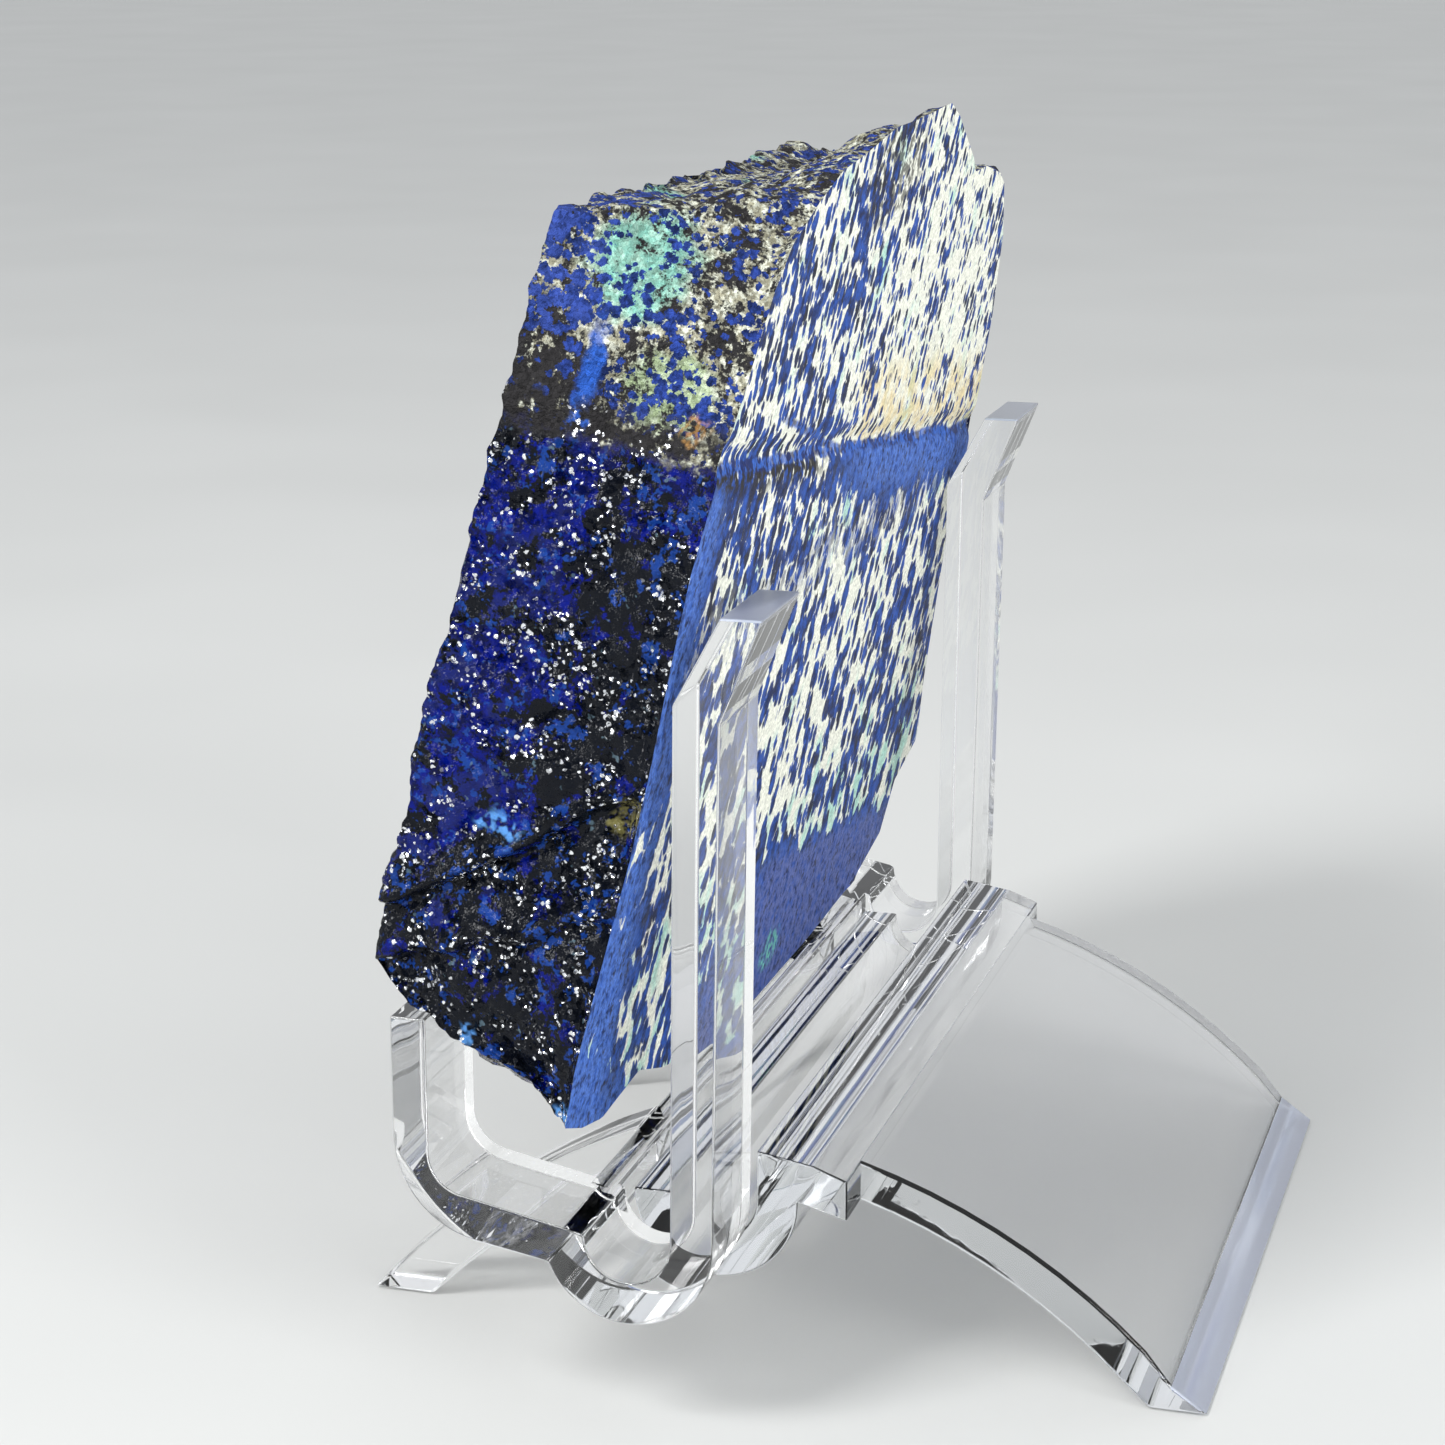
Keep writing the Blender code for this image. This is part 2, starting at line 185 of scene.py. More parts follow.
# Colours, linear: sawn face
CREAM = (0.86, 0.87, 0.76)
PALE_MINT = (0.45, 0.72, 0.62)
MINT = (0.14, 0.46, 0.40)
OCHRE = (0.76, 0.57, 0.22)
UMBER = (0.020, 0.019, 0.020)
NAVY = (0.007, 0.018, 0.085)
COBALT = (0.020, 0.085, 0.400)
# lighter blues of the bands: partly the stone's paler blue, partly a painted sheen of grazing light
CORNFLOWER = (0.075, 0.175, 0.560)
DUSK_BLUE = (0.10, 0.14, 0.38)
SEAM_INK = (0.006, 0.015, 0.10)
SEAM_BLUE = (0.03, 0.12, 0.50)

# Colours, linear: dry upper part of the broken faces
SAND = (0.26, 0.25, 0.18)
BONE = (0.60, 0.62, 0.52)
TURQUOISE = (0.15, 0.42, 0.35)
MOSS = (0.24, 0.36, 0.18)
DRY_BLUE = (0.020, 0.048, 0.25)
CORNER_BLUE = (0.030, 0.060, 0.27)
VEIN_BLUE = (0.020, 0.09, 0.42)
RUST = (0.30, 0.16, 0.05)

# Colours, linear: wet-looking lower part of the broken faces
MIDNIGHT = (0.001, 0.003, 0.040)
ULTRAMARINE = (0.001, 0.006, 0.150)
DUSTY_BLUE = (0.008, 0.014, 0.105)
WET_COBALT = (0.008, 0.045, 0.25)
CHALK = (0.10, 0.16, 0.20)
SKY = (0.10, 0.30, 0.70)
OLIVE = (0.22, 0.20, 0.07)
# black of the stone's black patches, also used as painted shade below the upper ledge
BLACK_AND_PAINTED_SHADE = (0.003, 0.004, 0.007)
# white of the painted glints: mirror-like metal cells that shine under any light
PAINTED_GLINT_WHITE = (0.90, 0.92, 0.95)

# Colours, linear: plastic and floor
CLEAR = (1.0, 1.0, 1.0)
FROSTED = (0.76, 0.80, 0.94)
PLASTIC_DEPTH = (0.93, 0.96, 0.98, 1.0)
FLOOR_LOW = (0.57, 0.575, 0.56)
FLOOR_HIGH = (0.62, 0.625, 0.61)

# Patches of noise: size in mm, the noise where they begin and where they are full, detail, roughness
Patches = namedtuple("Patches", "size begin full detail roughness", defaults=(3.0, 0.55))
SHARE_PATCHES = Patches(6.0, 0.34, 0.66)
MINTY_PATCHES = Patches(5.0, 0.54, 0.75, 2.0)
STAIN_PATCHES = Patches(2.5, 0.38, 0.60, 2.0)
SAWN_BLUE_PATCHES = Patches(1.8, 0.38, 0.62, 3.0, 0.7)
PALE_BLUE_AND_SHEEN_PATCHES = Patches(0.8, 0.36, 0.58, 2.0, 0.75)
MINT_PATCHES = Patches(0.9, 0.40, 0.60, 1.0)
DARK_TOP_PATCHES = Patches(1.2, 0.44, 0.56, 2.0, 0.7)
CRACK_PATCHES = Patches(0.8, 0.40, 0.55, 1.0)
SEAM_PATCHES = Patches(0.7, 0.45, 0.55, 1.0)
DRY_SHARE_PATCHES = Patches(3.2, 0.36, 0.80)
TURQUOISE_PATCHES = Patches(5.5, 0.57, 0.68)
BONE_PATCHES = Patches(0.6, 0.42, 0.66, 2.0, 0.75)
DRY_DARK_PATCHES = Patches(1.8, 0.46, 0.55, 4.0, 0.8)
DRY_BLUE_PATCHES = Patches(0.9, 0.38, 0.62, 2.0, 0.75)
CORNER_PATCHES = Patches(1.6, 0.40, 0.60)
DARK_BAND_PATCHES = Patches(1.6, 0.38, 0.50, 3.0, 0.7)
RUST_PATCHES = Patches(0.5, 0.40, 0.60, 1.0)
BLACK_PATCHES = Patches(2.4, 0.51, 0.56, 4.0, 0.75)
WET_BLUE_PATCHES = Patches(0.8, 0.42, 0.58, 3.0, 0.75)
DUSTY_PATCHES = Patches(3.5, 0.50, 0.56, 1.0)
WET_LIGHT_PATCHES = Patches(1.5, 0.56, 0.62, 3.0, 0.75)
CHALK_PATCHES = Patches(0.9, 0.68, 0.74, 2.0, 0.6)
SKY_PATCHES = Patches(0.6, 0.40, 0.60, 1.0)
DUST_PATCHES = Patches(1.2, 0.60, 0.80, 2.0, 0.75)

# Places on the stone, in its own mm. A line is (slope, height at x 0), a range is (none, full),
# a band is (none, full, full, none), a spot is (centre, reach) and a wobble is (size, reach).
SEAM_LINE = (0.136, 47.9)
BELOW_SEAM = (0.6, -0.6)
SEAM_BAND = (-6.0, -2.2, -0.2, 0.3)
SEAM_BAND_X = (14.0, -6.0)
SEAM_CORE = (-0.55, -0.25, 0.25, 0.55)
FORK_LINE = (0.16, -1.3)
FORK_CORE = (-0.45, -0.15, 0.15, 0.45)
FORK_X = (8.0, 10.0, 26.0, 30.0)
CRACK_BAND = (-2.2, -1.0, -0.2, 0.2)
CRACK_X = (10.0, 16.0)
STAIN_BAND = (0.2, 1.0, 4.0, 9.0)
STAIN_X = (10.0, 2.0)
NEAR_BAND_X = (38.0, 43.0)
FOOT_BAND_UP = (14.0, 5.0)
FOOT_BAND_X = (30.0, 40.0)
PLAIN_LINE = (0.19, 14.3)
PLAIN_EDGE = (0.8, -1.6)
PLAIN_END_SLOPE = 1.1
PLAIN_END = (27.0, 15.0)
DENSE_X = (0.0, 16.0)
DENSE_UP = (36.0, 44.0)
COARSE_UP = (45.0, 36.0)
MINTY_UP = (24.0, 12.0)
PALE_TOP = ((-16.0, 0.0, 61.0), (15.0, 9.0, 12.0))
PALE_MIDDLE = ((4.0, 0.0, 30.0), (20.0, 9.0, 15.0))
MINT_SPOT = ((-4.0, 0.0, 4.2), (3.0, 9.0, 2.2))
DARK_TOP = ((9.0, 0.0, 70.5), (9.0, 9.0, 4.5))
SAWN_WOBBLE = (4.0, 2.6)
SEAM_WOBBLE = (6.0, 1.6)
RAGGED_WOBBLE = (7.0, 14.0)
BED_LINE = (-0.136, 6.3)
BED_SWAY_SIZE = 16.0
BED_SWAY = 16.0
BED_SWAY_X = (42.0, 22.0)
BROKEN_WOBBLE = (2.2, 2.4)
WET_UP = (54.6, 53.2)
CORNER_DEPTH = (10.4, 12.0)
CORNER_UP = (58.0, 61.5)
CORNER_X = (22.0, 40.0)
TURQUOISE_SPOT = ((40.0, -8.6, 65.0), (20.0, 3.6, 3.6))
GREEN_SPOT = ((42.0, -4.7, 57.8), (20.0, 3.4, 2.8))
DRY_DARK_UP = (62.5, 58.0)
DRY_DARK_DEPTH = (7.0, 10.0)
VEIN_DEPTH = (9.1, 9.5, 10.1, 10.7)
VEIN_UP = (53.5, 55.5, 60.0, 62.5)
DARK_BAND_UP = (57.4, 55.4)
RUST_SPOT = ((46.0, -2.3, 55.8), (20.0, 0.9, 1.1))
# the upper ledge line; below it more black is painted as shade under the overhang
OVERHANG_LINE = (-0.60, 32.2)
PAINTED_SHADE_UNDER_OVERHANG = (0.5, -0.5)
BLACK_DEPTH = (9.5, 5.0)
BLACK_UP = (52.0, 47.0)
DUSTY_DEPTH = (8.0, 11.0)
SKY_SPOTS = (((46.0, -9.2, 27.3), (20.0, 1.9, 1.0)), ((48.0, -8.6, 12.2), (20.0, 0.8, 0.8)),
             ((49.0, -0.8, 9.2), (20.0, 1.0, 1.0)))
OLIVE_SPOT = ((46.0, -1.0, 29.8), (20.0, 1.1, 1.6))

# Azurite spots, grains, crystals and painted glints: sizes in mm, distances in cell widths
FINE_SPOT = 0.92
COARSE_SPOT = 1.35
DRY_SPOT = 0.85
SPOT_HEIGHT_SCALE = 0.65
SPOT_EDGE = (-0.04, 0.06)
UMBER_SPOTS = (0.78, 0.90)
SAWN_GRAIN = (0.22, 0.22)
DRY_GRAIN = (0.30, 0.38)
GLINT_SIZE = 0.34
GLINT_WOBBLE = (0.35, 0.42)
GLINT_EDGE = (-0.05, 0.08)
GLINT_BUSY = (0.46, 0.60)
GLINT_CLUSTERING = 0.37
GLINT_CHOSEN = (0.98, 1.01)
GLINT_UP = (57.0, 55.0)
CRYSTAL_SIZES = (0.85, 0.42)
CRYSTAL_BUSY = (0.42, 0.56)

# Surfaces
SAWN_IOR = 1.5
SAWN_SPECULAR = 0.20
SAWN_BUMP = 0.06 * MM
BROKEN_IOR = 1.52
BROKEN_SPECULAR = 0.13
DRY_ROUGHNESS = 0.80
WET_ROUGHNESS = 0.07
PLASTIC_IOR = 1.49
PLASTIC_ABSORPTION = 9.0
PLASTIC_DUST = 0.10
PLASTIC_BUMP = 0.06 * MM
PLASTIC_WAVE_SIZE = 9.0
FLOOR_MOTTLE_SIZE = 60.0
FLOOR_ROUGHNESS = 0.85


class Shader:
    """One material's node tree, with short ways to add what the stone and the plastic need."""

    def __init__(self, name):
        self.material = bpy.data.materials.new(name)
        self.material.use_nodes = True
        self.nodes = self.material.node_tree.nodes
        self.links = self.material.node_tree.links
        self.surface = self.nodes["Principled BSDF"]

    def put(self, socket, value):
        """Link a socket to another one, or give it a plain value."""
        if isinstance(value, bpy.types.NodeSocket):
            self.links.new(value, socket)
        elif socket.type == "RGBA":
            socket.default_value = (*value, 1.0)
        else:
            socket.default_value = value

    def set(self, name, value):
        """Set one input of the surface shader."""
        self.put(self.surface.inputs[name], value)

    def slab_place(self):
        """Object coordinates turned into the stone's own, in millimetres."""
        where = self.nodes.new("ShaderNodeTexCoord")
        turn = self.nodes.new("ShaderNodeMapping")
        turn.vector_type = "TEXTURE"
        turn.inputs["Location"].default_value = (0.0, *SAWN_BOTTOM)
        turn.inputs["Rotation"].default_value = (-LEAN, 0.0, 0.0)
        turn.inputs["Scale"].default_value = (MM, MM, MM)
        self.links.new(where.outputs["Object"], turn.inputs["Vector"])
        return turn.outputs["Vector"]

    def millimetres(self):
        """Object coordinates in millimetres."""
        where = self.nodes.new("ShaderNodeTexCoord")
        return self.vector("SCALE", where.outputs["Object"], scale=1.0 / MM)

    def vector(self, operation, first, second=(0.0, 0.0, 0.0), scale=1.0):
        """A vector sum; its result is the vector, or the number for LENGTH and DOT_PRODUCT."""
        node = self.nodes.new("ShaderNodeVectorMath")
        node.operation = operation
        self.put(node.inputs[0], first)
        if operation == "SCALE":
            self.put(node.inputs["Scale"], scale)
        else:
            self.put(node.inputs[1], second)
        return node.outputs["Value" if operation in ("LENGTH", "DOT_PRODUCT") else "Vector"]

    def split(self, vector):
        """The three parts of a vector."""
        node = self.nodes.new("ShaderNodeSeparateXYZ")
        self.put(node.inputs[0], vector)
        return node.outputs[0], node.outputs[1], node.outputs[2]

    def sum(self, operation, first, *others, clamp=False):
        """A sum of numbers, worked out one after the other."""
        for other in others:
            node = self.nodes.new("ShaderNodeMath")
            node.operation = operation
            node.use_clamp = clamp
            self.put(node.inputs[0], first)
            self.put(node.inputs[1], other)
            first = node.outputs[0]
        return first

    def plus(self, *numbers):
        """All numbers added."""
        return self.sum("ADD", *numbers)

    def minus(self, first, second):
        """The first number less the second."""
        return self.sum("SUBTRACT", first, second)

    def times(self, *numbers):
        """All numbers multiplied."""
        return self.sum("MULTIPLY", *numbers)

    def most(self, *numbers):
        """The largest number."""
        return self.sum("MAXIMUM", *numbers)

    def blend_add(self, value, factor, added):
        """value times factor, plus added."""
        node = self.nodes.new("ShaderNodeMath")
        node.operation = "MULTIPLY_ADD"
        self.put(node.inputs[0], value)
        self.put(node.inputs[1], factor)
        self.put(node.inputs[2], added)
        return node.outputs[0]

    def above_line(self, along, up, line):
        """How far a place is above a sloping line."""
        return self.minus(up, self.blend_add(along, *line))

    def rise(self, value, none, full):
        """0 at none and 1 at full, smooth between; full may be the lesser."""
        node = self.nodes.new("ShaderNodeMapRange")
        node.interpolation_type = "SMOOTHSTEP"
        self.put(node.inputs["Value"], value)
        self.put(node.inputs["From Min"], none)
        self.put(node.inputs["From Max"], full)
        return node.outputs["Result"]

    def between(self, value, start, full, fading, end):
        """1 from full to fading, and 0 before start and after end."""
        return self.times(self.rise(value, start, full), self.rise(value, end, fading))

    def noise(self, where, size, detail=3.0, roughness=0.55, colour=False):
        """Fractal noise whose largest lumps are size across."""
        node = self.nodes.new("ShaderNodeTexNoise")
        self.put(node.inputs["Vector"], where)
        node.inputs["Scale"].default_value = 1.0 / size
        node.inputs["Detail"].default_value = detail
        node.inputs["Roughness"].default_value = roughness
        return node.outputs["Color"] if colour else node.outputs["Fac"]

    def patches(self, where, kind, more=None):
        """Mask of noise patches; what is added as more makes them larger."""
        value = self.noise(where, kind.size, kind.detail, kind.roughness)
        if more is not None:
            value = self.plus(value, more)
        return self.rise(value, kind.begin, kind.full)

    def cells(self, where, size):
        """A cell pattern's distance from each cell's middle, and each cell's random colour."""
        node = self.nodes.new("ShaderNodeTexVoronoi")
        self.put(node.inputs["Vector"], where)
        node.inputs["Scale"].default_value = 1.0 / size
        return node.outputs["Distance"], node.outputs["Color"]

    def crystals(self, where, size):
        """Height of a facetted surface: every cell is flat and leans its own way."""
        node = self.nodes.new("ShaderNodeTexVoronoi")
        self.put(node.inputs["Vector"], where)
        node.inputs["Scale"].default_value = 1.0 / size
        lean = self.vector("SUBTRACT", node.outputs["Color"], (0.5, 0.5, 0.5))
        away = self.vector("SUBTRACT", where, node.outputs["Position"])
        return self.vector("DOT_PRODUCT", lean, away)

    def mix(self, amount, low, high):
        """Colour between low at 0 and high at 1."""
        node = self.nodes.new("ShaderNodeMix")
        node.data_type = "RGBA"
        self.put(node.inputs[0], amount)
        self.put(node.inputs[6], low)
        self.put(node.inputs[7], high)
        return node.outputs[2]

    def paint(self, colour, over, mask, strength):
        """The colour with another one over it, as strong as given where the mask is 1."""
        return self.mix(self.times(mask, strength), colour, over)

    def wobble(self, where, size, reach):
        """The same place, pushed about by noise."""
        shift = self.vector("SUBTRACT", self.noise(where, size, 2.0, colour=True), (0.5, 0.5, 0.5))
        return self.vector("ADD", where, self.vector("SCALE", shift, scale=reach))

    def spot(self, where, centre, reach):
        """1 in the middle of an ellipsoid and 0 outside it."""
        away = self.vector("DIVIDE", self.vector("SUBTRACT", where, centre), reach)
        return self.rise(self.vector("LENGTH", away), 1.15, 0.65)

    def bump(self, height, distance, strength=1.0):
        """A bump that changes the surface shader's normal."""
        node = self.nodes.new("ShaderNodeBump")
        node.inputs["Strength"].default_value = strength
        node.inputs["Distance"].default_value = distance
        self.put(node.inputs["Height"], height)
        return node.outputs["Normal"]


def spotted(s, place, share, size):
    """Mask of round azurite spots that cover about the share of the surface, and each spot's own shade."""
    distance, colour = s.cells(s.wobble(place, size * 0.4, size * 0.45), size)
    shade, _, _ = s.split(colour)
    radius = s.plus(s.blend_add(share, 0.55, 0.27), s.blend_add(shade, 0.16, -0.08))
    return s.rise(s.minus(radius, distance), *SPOT_EDGE), shade


def grained(s, place, colour, size, reach):
    """The colour with each grain a little lighter or darker."""
    _, tone = s.cells(place, size)
    light, _, _ = s.split(tone)
    return s.vector("SCALE", colour, scale=s.blend_add(light, 2.0 * reach, 1.0 - reach))


def seam_core(s, place, x):
    """Mask of the thin line along the middle of the seam, and of the fork that leaves it."""
    line_x, _, line_up = s.split(s.wobble(place, *SEAM_WOBBLE))
    above = s.above_line(line_x, line_up, SEAM_LINE)
    fork = s.between(s.above_line(x, above, FORK_LINE), *FORK_CORE)
    return s.most(s.between(above, *SEAM_CORE), s.times(fork, s.between(x, *FORK_X)))


def sawn_material():
    """The flat sawn face: azurite spots in cream, with the blue seam and the stained strip above it."""
    s = Shader("azurite_sawn")
    place = s.slab_place()
    loose = s.wobble(place, *SAWN_WOBBLE)
    x, _, up = s.split(loose)
    above = s.above_line(x, up, SEAM_LINE)
    below_seam = s.rise(above, *BELOW_SEAM)
    seam_band = s.times(s.between(above, *SEAM_BAND), s.rise(x, *SEAM_BAND_X))
    near_band = s.times(s.rise(x, *NEAR_BAND_X), below_seam)
    foot_band = s.times(s.rise(up, *FOOT_BAND_UP), s.rise(x, *FOOT_BAND_X))
    stained = s.times(s.between(above, *STAIN_BAND), s.rise(x, *STAIN_X))
    ragged_x, _, ragged_up = s.split(s.wobble(place, *RAGGED_WOBBLE))
    plain_low = s.times(s.rise(s.above_line(x, up, PLAIN_LINE), *PLAIN_EDGE),
                        s.rise(s.blend_add(ragged_up, PLAIN_END_SLOPE, ragged_x), *PLAIN_END))

    share = s.blend_add(s.patches(place, SHARE_PATCHES), 0.62, 0.10)
    for area, more in ((s.most(below_seam, s.rise(x, *DENSE_X)), 0.20),
                       (s.times(below_seam, s.rise(up, *DENSE_UP)), 0.14),
                       (seam_band, 1.1), (plain_low, 1.1), (near_band, 0.60), (foot_band, 0.60),
                       (s.spot(loose, *PALE_TOP), -0.20), (s.spot(loose, *PALE_MIDDLE), -0.12),
                       (stained, -0.20)):
        share = s.blend_add(area, more, share)
    tall = s.vector("MULTIPLY", place, (1.0, 1.0, SPOT_HEIGHT_SCALE))
    fine, shade = spotted(s, tall, share, FINE_SPOT)
    coarse, _ = spotted(s, tall, share, COARSE_SPOT)
    spots = s.blend_add(s.minus(coarse, fine), s.rise(up, *COARSE_UP), fine)

    more_mint = s.times(s.rise(up, *MINTY_UP), 0.12)
    ground = s.mix(s.patches(place, MINTY_PATCHES, more_mint), CREAM, PALE_MINT)
    ground = s.paint(ground, OCHRE, s.times(stained, s.patches(place, STAIN_PATCHES)), 0.65)
    blue = s.mix(s.patches(place, SAWN_BLUE_PATCHES), NAVY, COBALT)
    blue = s.paint(blue, UMBER, s.rise(shade, *UMBER_SPOTS), 0.75)
    # Lighter blue on the seam, near, foot and plain low bands: partly the stone's own paler blue, partly a
    # painted sheen of grazing light on the low and foot bands
    light = s.times(s.most(seam_band, plain_low, near_band, foot_band), s.patches(place, PALE_BLUE_AND_SHEEN_PATCHES))
    blue = s.mix(light, blue, s.mix(plain_low, CORNFLOWER, DUSK_BLUE))
    colour = s.mix(spots, ground, blue)

    mint = s.times(s.spot(loose, *MINT_SPOT), s.patches(place, MINT_PATCHES))
    colour = s.mix(mint, colour, MINT)
    dark_top = s.times(s.spot(loose, *DARK_TOP), s.patches(place, DARK_TOP_PATCHES))
    colour = s.paint(colour, UMBER, dark_top, 0.8)
    crack = s.times(s.between(above, *CRACK_BAND), s.rise(x, *CRACK_X), s.patches(place, CRACK_PATCHES))
    colour = s.mix(crack, colour, UMBER)
    seam_colour = s.mix(s.patches(place, SEAM_PATCHES), SEAM_INK, SEAM_BLUE)
    colour = s.paint(colour, seam_colour, seam_core(s, place, x), 0.85)
    s.set("Base Color", grained(s, place, colour, *SAWN_GRAIN))
    s.set("Roughness", s.blend_add(s.noise(place, 1.5, 1.0), 0.4, 0.42))
    s.set("IOR", SAWN_IOR)
    s.set("Specular IOR Level", SAWN_SPECULAR)
    s.set("Normal", s.bump(s.noise(place, 0.25, 1.0, 0.7), SAWN_BUMP, 0.8))
    return s.material


def dry_colour(s, place, loose, x, depth, up):
    """Matt upper part: clustered blue grains on pale, turquoise and brown-black ground."""
    corner = s.times(s.rise(depth, *CORNER_DEPTH), s.rise(up, *CORNER_UP), s.rise(x, *CORNER_X))
    share = s.blend_add(corner, 0.50, s.patches(place, DRY_SHARE_PATCHES))
    share = s.plus(share, s.blend_add(s.noise(place, 0.35, 2.0, 0.7), 1.6, -0.85))
    spots, _ = spotted(s, place, share, DRY_SPOT)

    turquoise_spot = s.spot(loose, *TURQUOISE_SPOT)
    green_spot = s.spot(loose, *GREEN_SPOT)
    turquoise = s.most(turquoise_spot, s.patches(place, TURQUOISE_PATCHES))
    ground = s.mix(s.patches(place, BONE_PATCHES), SAND, BONE)
    ground = s.paint(ground, TURQUOISE, turquoise, s.blend_add(s.noise(place, 0.8), 0.9, 0.3))
    ground = s.paint(ground, MOSS, green_spot, 0.6)
    low = s.times(s.rise(up, *DRY_DARK_UP), s.rise(depth, *DRY_DARK_DEPTH))
    more_dark = s.blend_add(low, 0.10, s.times(s.most(turquoise_spot, green_spot), -0.06))
    ground = s.mix(s.patches(place, DRY_DARK_PATCHES, more_dark), ground, UMBER)
    blue = s.mix(s.patches(place, DRY_BLUE_PATCHES), NAVY, DRY_BLUE)
    blue = s.paint(blue, CORNER_BLUE, corner, s.patches(place, CORNER_PATCHES))
    colour = s.mix(spots, ground, blue)

    vein = s.times(s.between(depth, *VEIN_DEPTH), s.between(up, *VEIN_UP))
    colour = s.paint(colour, VEIN_BLUE, vein, 0.85)
    colour = s.paint(colour, UMBER, s.rise(up, *DARK_BAND_UP), s.patches(place, DARK_BAND_PATCHES))
    rust = s.times(s.spot(loose, *RUST_SPOT), s.patches(place, RUST_PATCHES))
    return s.paint(colour, RUST, rust, 0.8)


def wet_colour(s, place, loose, depth, up):
    """Wet-looking lower part: deep azurite blue with black, and a few pale and rusty spots; the black is
    partly the stone's own and partly painted shade below the upper ledge.
    """
    # Painted shade: more black below the upper ledge, where the overhang shades the face
    painted_shade_under_ledge = s.rise(s.above_line(depth, up, OVERHANG_LINE), *PAINTED_SHADE_UNDER_OVERHANG)
    beside = s.times(s.rise(depth, *BLACK_DEPTH), s.rise(up, *BLACK_UP))
    black = s.patches(place, BLACK_PATCHES, s.times(s.most(painted_shade_under_ledge, beside), 0.13))
    blue = s.mix(s.patches(place, WET_BLUE_PATCHES), MIDNIGHT, ULTRAMARINE)
    dusty = s.times(s.patches(place, DUSTY_PATCHES), s.rise(depth, *DUSTY_DEPTH))
    colour = s.mix(black, s.paint(blue, DUSTY_BLUE, dusty, 0.8), BLACK_AND_PAINTED_SHADE)
    colour = s.paint(colour, WET_COBALT, s.patches(place, WET_LIGHT_PATCHES), 0.75)
    colour = s.paint(colour, CHALK, s.patches(place, CHALK_PATCHES), 0.6)
    sky = s.times(s.most(*[s.spot(loose, *spot) for spot in SKY_SPOTS]), s.patches(place, SKY_PATCHES))
    colour = s.paint(colour, SKY, sky, 0.8)
    olive = s.times(s.spot(loose, *OLIVE_SPOT), s.patches(place, RUST_PATCHES))
    return s.paint(colour, OLIVE, olive, 0.7)


def glints(s, place, busy, up):
    """Mask of painted glints: small white, fully metallic cells that shine under any light in place of
    crystal sparkle, clustered where busy is high.
    """
    distance, tone = s.cells(s.wobble(place, *GLINT_WOBBLE), GLINT_SIZE)
    pick, width, _ = s.split(tone)
    chosen = s.rise(s.blend_add(s.rise(busy, *GLINT_BUSY), GLINT_CLUSTERING, pick), *GLINT_CHOSEN)
    radius = s.blend_add(width, 0.30, 0.28)
    return s.times(s.rise(s.minus(radius, distance), *GLINT_EDGE), s.rise(up, *GLINT_UP), chosen)


def broken_material():
    """The rough broken faces: matt and granular above, wet-looking blue and black below, with painted glints
    there.
    """
    s = Shader("azurite_broken")
    place = s.slab_place()
    along_x, _, height = s.split(place)
    sway = s.blend_add(s.noise(place, BED_SWAY_SIZE, 0.0), BED_SWAY, -0.5 * BED_SWAY)
    dip = s.plus(s.blend_add(along_x, *BED_LINE), s.times(sway, s.rise(along_x, *BED_SWAY_X)))
    loose = s.wobble(place, *BROKEN_WOBBLE)
    _, out, up = s.split(loose)
    depth = s.times(out, -1.0)
    up = s.plus(up, dip)
    wet = s.rise(up, *WET_UP)
    busy = s.noise(place, 2.8, 1.0, 0.6)
    glint = glints(s, place, busy, up)
    dry = grained(s, place, dry_colour(s, place, loose, along_x, depth, up), *DRY_GRAIN)
    colour = s.mix(wet, dry, wet_colour(s, place, loose, depth, up))
    # Painted glints: white, fully metallic cells that shine under any light
    s.set("Base Color", s.mix(glint, colour, PAINTED_GLINT_WHITE))
    s.set("Metallic", glint)
    roughness = s.blend_add(wet, WET_ROUGHNESS - DRY_ROUGHNESS, DRY_ROUGHNESS)
    s.set("Roughness", s.sum("SUBTRACT", roughness, s.times(glint, 0.7), clamp=True))
    s.set("IOR", BROKEN_IOR)
    s.set("Specular IOR Level", BROKEN_SPECULAR)

    below = s.rise(s.plus(height, dip), *WET_UP)
    facets = s.plus(*[s.crystals(place, size) for size in CRYSTAL_SIZES])
    facets = s.times(facets, below, s.blend_add(s.rise(busy, *CRYSTAL_BUSY), 1.20, 0.30))
    grit = s.times(s.noise(place, 0.22, 1.0, 0.7), s.blend_add(below, -0.20, 0.27))
    s.set("Normal", s.bump(s.plus(facets, grit), MM))
    return s.material


def clear_material(name, tint, roughness, transmission):
    """Clear moulded plastic with faint flow waves and a little dust."""
    s = Shader(name)
    place = s.millimetres()
    s.set("Base Color", tint)
    s.set("Transmission Weight", transmission)
    s.set("IOR", PLASTIC_IOR)
    s.set("Roughness", s.blend_add(s.patches(place, DUST_PATCHES), PLASTIC_DUST, roughness))
    s.set("Normal", s.bump(s.noise(place, PLASTIC_WAVE_SIZE, 0.0), PLASTIC_BUMP, 0.40))
    absorb = s.nodes.new("ShaderNodeVolumeAbsorption")
    absorb.inputs["Color"].default_value = PLASTIC_DEPTH
    absorb.inputs["Density"].default_value = PLASTIC_ABSORPTION
    s.links.new(absorb.outputs["Volume"], s.nodes["Material Output"].inputs["Volume"])
    return s.material


def floor_material():
    """Pale matt table top with a faint mottle."""
    s = Shader("pale_floor")
    mottle = s.noise(s.millimetres(), FLOOR_MOTTLE_SIZE, 1.0)
    s.set("Base Color", s.mix(mottle, FLOOR_LOW, FLOOR_HIGH))
    s.set("Roughness", FLOOR_ROUGHNESS)
    return s.material


